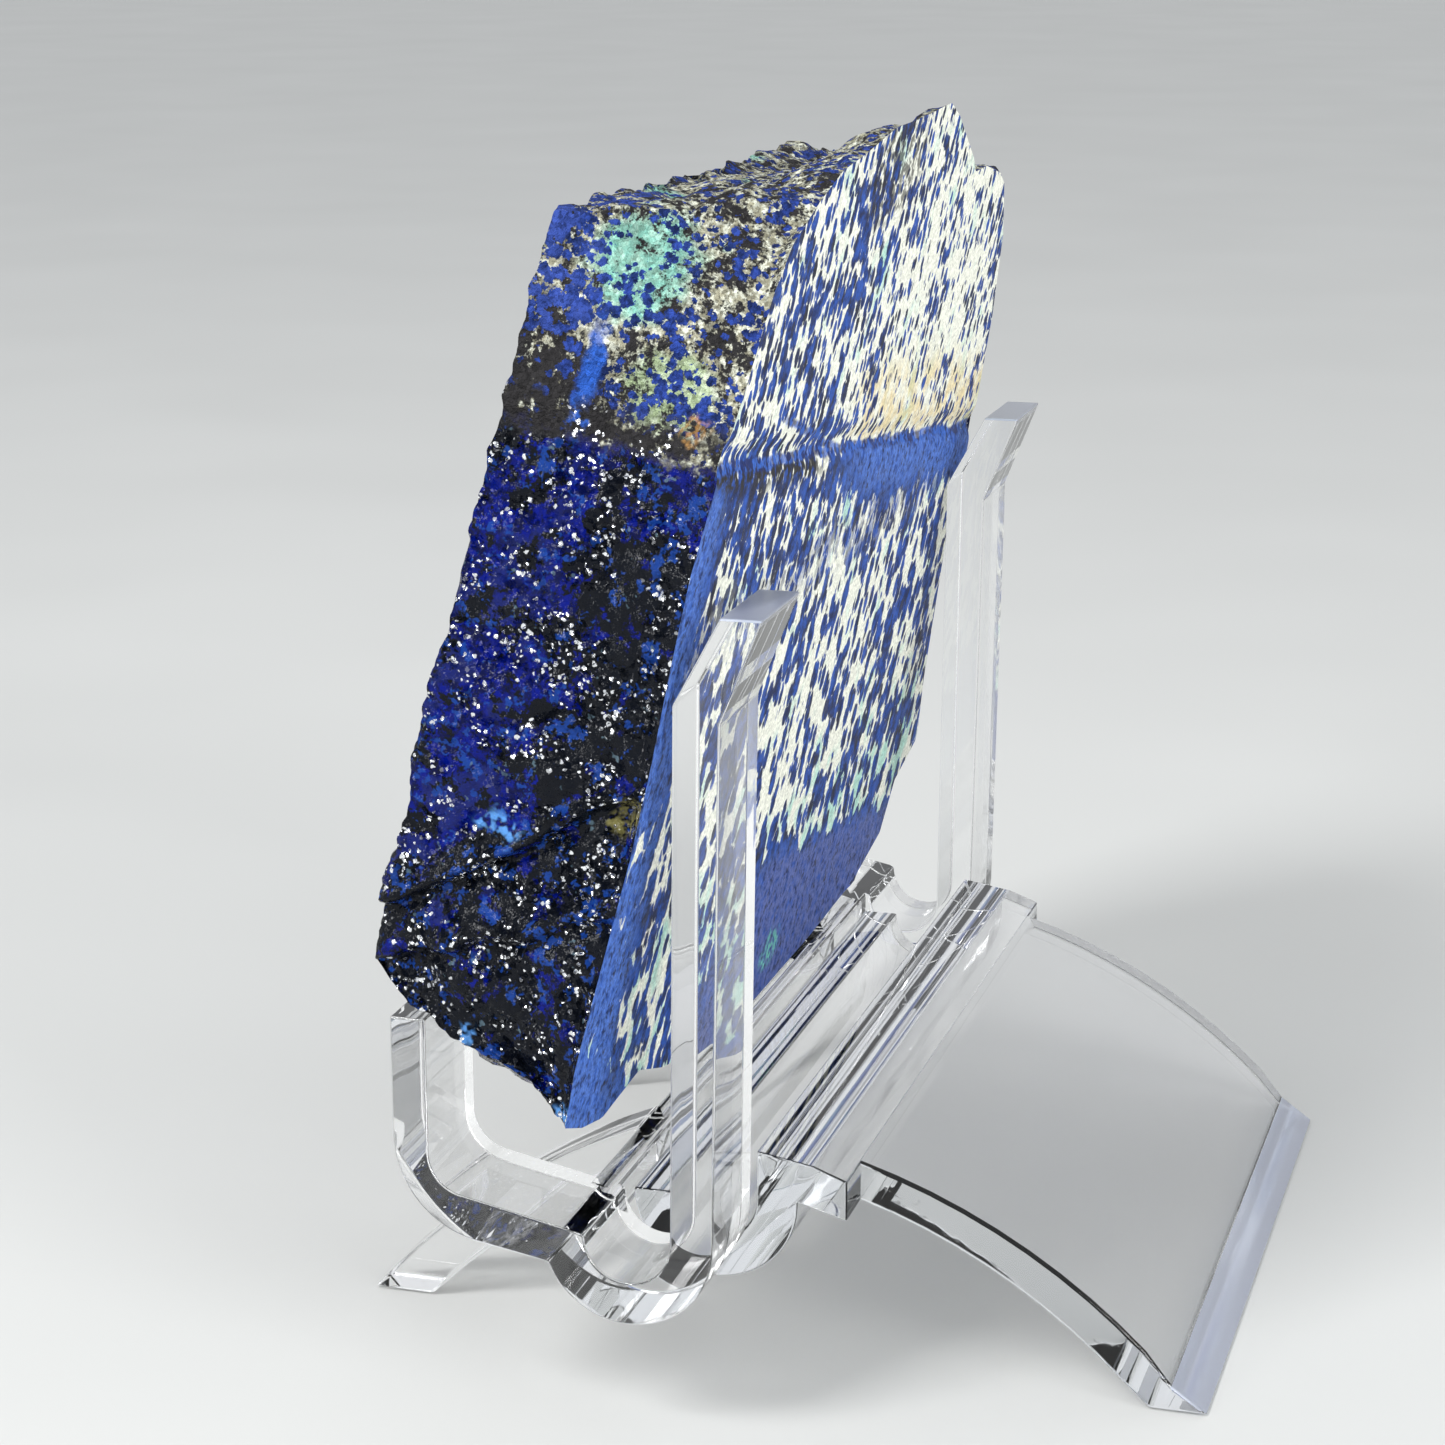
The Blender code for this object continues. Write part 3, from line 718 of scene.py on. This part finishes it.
def new_object(name, bm, *materials):
    """Turn a bmesh into a named object."""
    mesh = bpy.data.meshes.new(name)
    bm.to_mesh(mesh)
    bm.free()
    for material in materials:
        mesh.materials.append(material)
    obj = bpy.data.objects.new(name, mesh)
    bpy.context.collection.objects.link(obj)
    return obj


def arc(centre, radius, start_deg, end_deg):
    """Points of a circular arc in the (y, z) plane, both ends included."""
    steps = max(2, round(abs(end_deg - start_deg) / ARC_STEP_DEG))
    angles = [math.radians(start_deg + (end_deg - start_deg) * i / steps) for i in range(steps + 1)]
    return [(centre[0] + radius * math.cos(a), centre[1] + radius * math.sin(a)) for a in angles]


def arc_through(first, middle, last):
    """Points of the arc that passes through three points."""
    (ax, ay), (bx, by), (cx, cy) = first, middle, last
    d = 2.0 * (ax * (by - cy) + bx * (cy - ay) + cx * (ay - by))
    a2 = ax * ax + ay * ay
    b2 = bx * bx + by * by
    c2 = cx * cx + cy * cy
    centre = ((a2 * (by - cy) + b2 * (cy - ay) + c2 * (ay - by)) / d,
              (a2 * (cx - bx) + b2 * (ax - cx) + c2 * (bx - ax)) / d)
    radius = math.hypot(ax - centre[0], ay - centre[1])
    start = math.degrees(math.atan2(ay - centre[1], ax - centre[0]))
    end = math.degrees(math.atan2(cy - centre[1], cx - centre[0]))
    return arc(centre, radius, start, end)


def prism(name, outline, x_low, x_high, material):
    """Extrude a (y, z) outline along X and round its sharp edges."""
    bm = bmesh.new()
    verts = [bm.verts.new((x_low, y, z)) for y, z in outline]
    cap = bm.faces.new(verts)
    grown = bmesh.ops.extrude_face_region(bm, geom=[cap])
    moved = [g for g in grown["geom"] if isinstance(g, bmesh.types.BMVert)]
    bmesh.ops.translate(bm, verts=moved, vec=(x_high - x_low, 0.0, 0.0))
    bmesh.ops.recalc_face_normals(bm, faces=bm.faces)
    sharp = [e for e in bm.edges if e.calc_face_angle(0.0) > EDGE_TURN]
    bmesh.ops.bevel(bm, geom=sharp, offset=EDGE_ROUND, segments=EDGE_SEGMENTS, profile=0.5,
                    affect="EDGES", clamp_overlap=True)
    return new_object(name, bm, material)


def weld(name, parts, material, matt):
    """One smooth-shaded piece from the union of several solids, with matt arm tops and foot end."""
    base = parts[0]
    for other in parts[1:]:
        union = base.modifiers.new("join " + other.name, "BOOLEAN")
        union.operation = "UNION"
        union.solver = "EXACT"
        union.object = other
    shapes = bpy.context.evaluated_depsgraph_get()
    mesh = bpy.data.meshes.new_from_object(base.evaluated_get(shapes))
    for part in parts:
        bpy.data.objects.remove(part, do_unlink=True)
    mesh.name = name
    mesh.materials.clear()
    mesh.materials.append(material)
    mesh.materials.append(matt)
    for face in mesh.polygons:
        on_top = face.center.z > ARM_TOP_BACK[1] - EDGE_ROUND
        on_foot_end = face.center.y > FOOT_HEEL[0] + EDGE_ROUND and face.normal.z > FOOT_BAND_LEAST_UP
        face.material_index = int(on_top or on_foot_end)
    mesh.shade_smooth()
    mesh.set_sharp_from_angle(angle=SHADING_TURN)
    piece = bpy.data.objects.new(name, mesh)
    bpy.context.collection.objects.link(piece)
    even = piece.modifiers.new("even shading", "WEIGHTED_NORMAL")
    even.keep_sharp = True
    return piece


def ribbon_outline():
    """Side outline of one ribbon: hook, shelf, lip, loop and arm."""
    outer_centre = (HOOK_OUTER_Y + HOOK_OUTER_R, SHELF_BOTTOM_FRONT_Z + HOOK_OUTER_R)
    inner_centre = (HOOK_INNER_Y + HOOK_INNER_R, SHELF_TOP_FRONT_Z + HOOK_INNER_R)
    points = [(HOOK_INNER_Y, HOOK_TIP_Z), (HOOK_OUTER_Y, HOOK_TIP_Z)]
    points += arc(outer_centre, HOOK_OUTER_R, 180.0, HOOK_END_DEG)
    points += arc(LOOP_CENTRE, LOOP_OUTER_R, LOOP_START_DEG, 360.0)
    points += [ARM_BEND_BACK, ARM_TOP_BACK, ARM_TOP_FRONT, ARM_BEND_FRONT]
    points += arc(LOOP_CENTRE, LOOP_INNER_R, 0.0, -180.0)
    points += [LIP]
    points += arc(inner_centre, HOOK_INNER_R, HOOK_END_DEG, 180.0)
    return points


def front_frame_piece(material, matt):
    """Two ribbons joined by the bar, with the two front legs."""
    outline = ribbon_outline()
    inner_x = STAND_HALF_WIDTH - RIBBON_WIDTH
    near = prism("near_ribbon", outline, inner_x, STAND_HALF_WIDTH, material)
    far = prism("far_ribbon", outline, -STAND_HALF_WIDTH, -inner_x, material)
    bar_outline = [(BAR_FRONT_Y, BAR_BOTTOM_Z), (LIP[0], BAR_BOTTOM_Z), LIP, (BAR_FRONT_Y, BAR_TOP_Z)]
    bar = prism("bar", bar_outline, -inner_x - BAR_OVERLAP, inner_x + BAR_OVERLAP, material)
    leg_end_y = LIP[0] - PIECE_GAP
    leg_outline = arc_through(*LEG_TOP_ARC)
    leg_outline += [(leg_end_y, LEG_TOP_ARC[2][1] - LEG_END_STEP)]
    leg_outline += [(leg_end_y, LEG_BOTTOM_ARC[2][1] + LEG_END_STEP)]
    leg_outline += list(reversed(arc_through(*LEG_BOTTOM_ARC)))
    near_leg = prism("near_leg", leg_outline, LEG_INNER_X, LEG_OUTER_X, material)
    far_leg = prism("far_leg", leg_outline, -LEG_OUTER_X, -LEG_INNER_X, material)
    return weld("easel_front", [near, far, bar, near_leg, far_leg], material, matt)


def back_support_piece(material, matt):
    """The trough and head between the arms, and the arched plate that runs down to the rear foot."""
    head = [HEAD_TOP[0], HEAD_TOP[1], PLATE_TOP_ARC[0], PLATE_BOTTOM_ARC[0],
            (TROUGH_CENTRE[0] + TROUGH_OUTER_R, TROUGH_CENTRE[1] + TROUGH_STEP)]
    head += arc(TROUGH_CENTRE, TROUGH_OUTER_R, 0.0, -180.0)
    head += arc(TROUGH_CENTRE, TROUGH_INNER_R, -180.0, 0.0)
    head_solid = prism("head", head, -HEAD_HALF_WIDTH, HEAD_HALF_WIDTH, material)
    plate = [(PLATE_START_Y, PLATE_BOTTOM_ARC[0][1] + PLATE_START_STEP), (PLATE_START_Y, PLATE_TOP_ARC[0][1])]
    plate += arc_through(*PLATE_TOP_ARC)
    plate += [FOOT_HEEL, (FOOT_BACK_Y, 0.0), (FOOT_FRONT_Y, 0.0)]
    plate += list(reversed(arc_through(*PLATE_BOTTOM_ARC)))
    plate_solid = prism("plate", plate, -PLATE_HALF_WIDTH, PLATE_HALF_WIDTH, material)
    return weld("easel_back", [head_solid, plate_solid], material, matt)


def along(points, t):
    """Points at the fractions t of a polyline's length."""
    line = np.array(points)
    lengths = np.concatenate([[0.0], np.cumsum(np.linalg.norm(np.diff(line, axis=0), axis=1))])
    reach = t * lengths[-1]
    return np.stack([np.interp(reach, lengths, line[:, 0]), np.interp(reach, lengths, line[:, 1])], axis=-1)


def outline_points(a, b):
    """Points inside the sawn outline: a runs far to near, b runs bottom to top."""
    low, high = along(SAWN_BASE, a), along(SAWN_TOP, a)
    far, near = along(SAWN_FAR, b), along(SAWN_NEAR, b)
    a = a[:, None]
    b = b[:, None]
    ends = [np.array(p) for p in (SAWN_BASE[0], SAWN_BASE[-1], SAWN_TOP[0], SAWN_TOP[-1])]
    blend = ends[0] * (1 - a) * (1 - b) + ends[1] * a * (1 - b) + ends[2] * (1 - a) * b + ends[3] * a * b
    return (low * (1 - b) + high * b + far * (1 - a) + near * a - blend) * MM


def front_points(a, b):
    """Points inside the front face's outline, in the same coordinates."""
    x = FRONT_FAR_X + FRONT_WIDTH * a
    top = FRONT_TOP_FAR + FRONT_TOP_RISE * a + FRONT_TOP_ARCH * np.sin(math.pi * a)
    low = FRONT_LOW + FRONT_LOW_WAVE * np.sin(FRONT_LOW_WAVE_TURN * a)
    squeeze = 1.0 - FRONT_NARROWING * np.maximum(0.0, b - FRONT_NARROWS_FROM) / (1.0 - FRONT_NARROWS_FROM)
    return np.stack([x * squeeze, low + (top - low) * b], axis=-1)


def slab_body(a, b, c):
    """Plain places of the slab's body: c runs from the sawn face to the front face."""
    flat = outline_points(a, b) * (1 - c[:, None]) + front_points(a, b) * c[:, None]
    up = flat[:, 1] - TOP_SAG * np.sin(math.pi * c) * np.sin(math.pi * a) * b ** TOP_SAG_POWER
    depth = c * (SLAB_THICKNESS_LOW + (SLAB_THICKNESS_TOP - SLAB_THICKNESS_LOW) * b)
    y = SAWN_BOTTOM[0] + up * math.sin(LEAN) - depth * math.cos(LEAN)
    z = SAWN_BOTTOM[1] + up * math.cos(LEAN) + depth * math.sin(LEAN)
    return np.stack([flat[:, 0], y, z], axis=-1)


def relief(place):
    """How far the broken surface stands out from its plain place."""
    lumps = noise.fractal(place / LUMP_SIZE, LUMP_FALLOFF, LUMP_STEP, LUMP_OCTAVES) * LUMP_HEIGHT
    pits = noise.noise(place / PIT_SIZE + PIT_SHIFT) * PIT_HEIGHT
    facets = (RELIEF_MEAN - noise.voronoi(place / FACET_SIZE)[0][0]) * FACET_HEIGHT
    grains = (RELIEF_MEAN - noise.voronoi(place / GRAIN_SIZE)[0][0]) * GRAIN_HEIGHT
    return lumps + pits + facets + grains


def slope_height(place):
    """Height of a place up the sawn face's slope."""
    return (place.z - SAWN_BOTTOM[1]) / math.cos(LEAN)


def ledge_step(a, c, place):
    """Overhang of the near end above each ledge line, with a lip and a groove."""
    waver = noise.noise(place / LEDGE_WAVER_SIZE) * LEDGE_WAVER
    total = 0.0
    for front, back, step in LEDGES:
        above = slope_height(place) + waver - (back + (front - back) * c)
        total -= step / (1.0 + math.exp(above / LEDGE_SOFTNESS))
        total += step * math.exp(-((above - LEDGE_LIP) / LEDGE_LIP) ** 2)
        total -= step * math.exp(-((above + LEDGE_LIP) / LEDGE_LIP) ** 2)
    return total * max(0.0, a - LEDGES_FROM) / (1.0 - LEDGES_FROM)


def keep_clear(place):
    """Hold the stone off the hook tips and the bar."""
    inner_x = STAND_HALF_WIDTH - RIBBON_WIDTH
    if inner_x - TIP_PLANE_MARGIN < abs(place.x) < STAND_HALF_WIDTH + TIP_PLANE_MARGIN:
        tip_side = Vector((0.0, math.cos(TIP_PLANE), math.sin(TIP_PLANE)))
        tip = Vector((place.x, HOOK_INNER_Y, HOOK_TIP_Z))
        short = TIP_CLEARANCE - (place - tip).dot(tip_side)
        if short > 0.0:
            place += tip_side * short
    place.z = max(place.z, SAWN_BOTTOM[1])
    return place


def stone_piece(sawn, broken):
    """The stone: a leaning body with a sawn back face and broken faces all round."""
    cells = (CELLS_X, CELLS_UP, CELLS_DEEP)
    bm = bmesh.new()
    grid = {}

    def vertex(key):
        if key not in grid:
            grid[key] = bm.verts.new()
        return grid[key]

    def skin(fixed, at, material_index):
        first, second = [axis for axis in range(3) if axis != fixed]
        for m in range(cells[first]):
            for n in range(cells[second]):
                keys = []
                for dm, dn in ((0, 0), (1, 0), (1, 1), (0, 1)):
                    key = [at, at, at]
                    key[first] = m + dm
                    key[second] = n + dn
                    keys.append(tuple(key))
                face = bm.faces.new([vertex(key) for key in keys])
                face.material_index = material_index

    skin(2, 0, 0)
    skin(2, CELLS_DEEP, 1)
    skin(1, 0, 1)
    skin(1, CELLS_UP, 1)
    skin(0, 0, 1)
    skin(0, CELLS_X, 1)
    keys = np.array(list(grid))
    a, b, c = (keys / np.array(cells)).T
    for vert, place in zip(grid.values(), slab_body(a, b, c)):
        vert.co = place
    bmesh.ops.recalc_face_normals(bm, faces=bm.faces)
    bm.normal_update()
    shapes = []
    for (i, _, k), vert, share_a, share_c in zip(grid, grid.values(), a, c):
        place = vert.co.copy()
        if k == 0:
            seam = SEAM_FAR + (SEAM_NEAR - SEAM_FAR) * share_a
            dent = SEAM_DEPTH * math.exp(-((slope_height(place) - seam) / SEAM_WIDTH) ** 2)
            shapes.append(place + Vector((0.0, -dent, 0.0)))
            continue
        near_edge = min(1.0, share_c / RIM_SOFT)
        moved = place + vert.normal * relief(place) * near_edge
        if i == CELLS_X:
            moved.x += ledge_step(share_a, share_c, place) * near_edge
        shapes.append(moved)
    low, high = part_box("azurite_slab")
    for vert, moved in zip(grid.values(), shapes):
        vert.co = np.clip(keep_clear(moved), low, high)
    for face in bm.faces:
        face.smooth = True
    for edge in bm.edges:
        edge.smooth = len({face.material_index for face in edge.link_faces}) == 1
    return new_object("azurite_stone", bm, sawn, broken)


def floor_piece(material):
    """A pale round table top, wide enough for every view."""
    bm = bmesh.new()
    bmesh.ops.create_circle(bm, cap_ends=True, segments=FLOOR_SIDES, radius=FLOOR_RADIUS)
    bmesh.ops.translate(bm, verts=bm.verts, vec=(0.0, 0.0, -FLOOR_GAP))
    return new_object("floor", bm, material)


def camera():
    """The photograph's camera."""
    data = bpy.data.cameras.new("camera")
    data.lens = CAMERA_LENS
    data.sensor_width = CAMERA_SENSOR
    data.clip_start = CAMERA_NEAREST
    obj = bpy.data.objects.new("camera", data)
    bpy.context.collection.objects.link(obj)
    flat = math.cos(CAMERA_ELEVATION)
    back = Vector((math.sin(CAMERA_AZIMUTH) * flat, -math.cos(CAMERA_AZIMUTH) * flat,
                   math.sin(CAMERA_ELEVATION)))
    right = Vector((0.0, 0.0, 1.0)).cross(back).normalized()
    up = back.cross(right)
    turned_right = math.cos(CAMERA_ROLL) * right + math.sin(CAMERA_ROLL) * up
    turned_up = math.cos(CAMERA_ROLL) * up - math.sin(CAMERA_ROLL) * right
    turn = Matrix((turned_right, turned_up, back)).transposed().to_4x4()
    obj.matrix_world = Matrix.Translation(CAMERA_PLACE) @ turn
    bpy.context.scene.camera = obj


def area_light(name, place, size, energy):
    """A soft square light that faces the middle of the object."""
    data = bpy.data.lights.new(name, "AREA")
    data.size = size
    data.energy = energy
    obj = bpy.data.objects.new(name, data)
    bpy.context.collection.objects.link(obj)
    obj.location = place
    obj.rotation_mode = "QUATERNION"
    obj.rotation_quaternion = (Vector(LIGHT_TARGET) - Vector(place)).to_track_quat("-Z", "Y")


def studio():
    """Plain pale surroundings and three soft lights."""
    scene = bpy.context.scene
    scene.world = bpy.data.worlds.new("studio")
    scene.world.use_nodes = True
    background = scene.world.node_tree.nodes["Background"]
    background.inputs["Color"].default_value = WORLD_COLOUR
    background.inputs["Strength"].default_value = WORLD_STRENGTH
    scene.view_settings.view_transform = "Standard"
    scene.cycles.max_bounces = BOUNCES
    scene.cycles.transmission_bounces = BOUNCES
    scene.cycles.diffuse_bounces = DIFFUSE_BOUNCES
    scene.cycles.glossy_bounces = GLOSSY_BOUNCES
    for light in LIGHTS:
        area_light(*light)


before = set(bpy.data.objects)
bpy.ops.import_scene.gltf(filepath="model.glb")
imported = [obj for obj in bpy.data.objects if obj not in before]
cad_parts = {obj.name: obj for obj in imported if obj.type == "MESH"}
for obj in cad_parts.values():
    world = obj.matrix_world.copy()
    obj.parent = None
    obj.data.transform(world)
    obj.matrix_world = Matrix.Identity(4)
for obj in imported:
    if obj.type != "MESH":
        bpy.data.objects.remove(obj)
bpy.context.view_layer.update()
stone = stone_piece(sawn_material(), broken_material())
clear = clear_material("clear_plastic", CLEAR, 0.01, 1.0)
matt_clear = clear_material("matt_clear_plastic", FROSTED, 0.30, 0.70)
front = front_frame_piece(clear, matt_clear)
support = back_support_piece(clear, matt_clear)
for piece, node, slot in ((stone, "azurite_slab", "stone"), (front, "front_frame", "clear_frame"),
                          (support, "back_support", "clear_support")):
    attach(piece, "root")
    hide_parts(node)
floor_piece(floor_material())
studio()
camera()
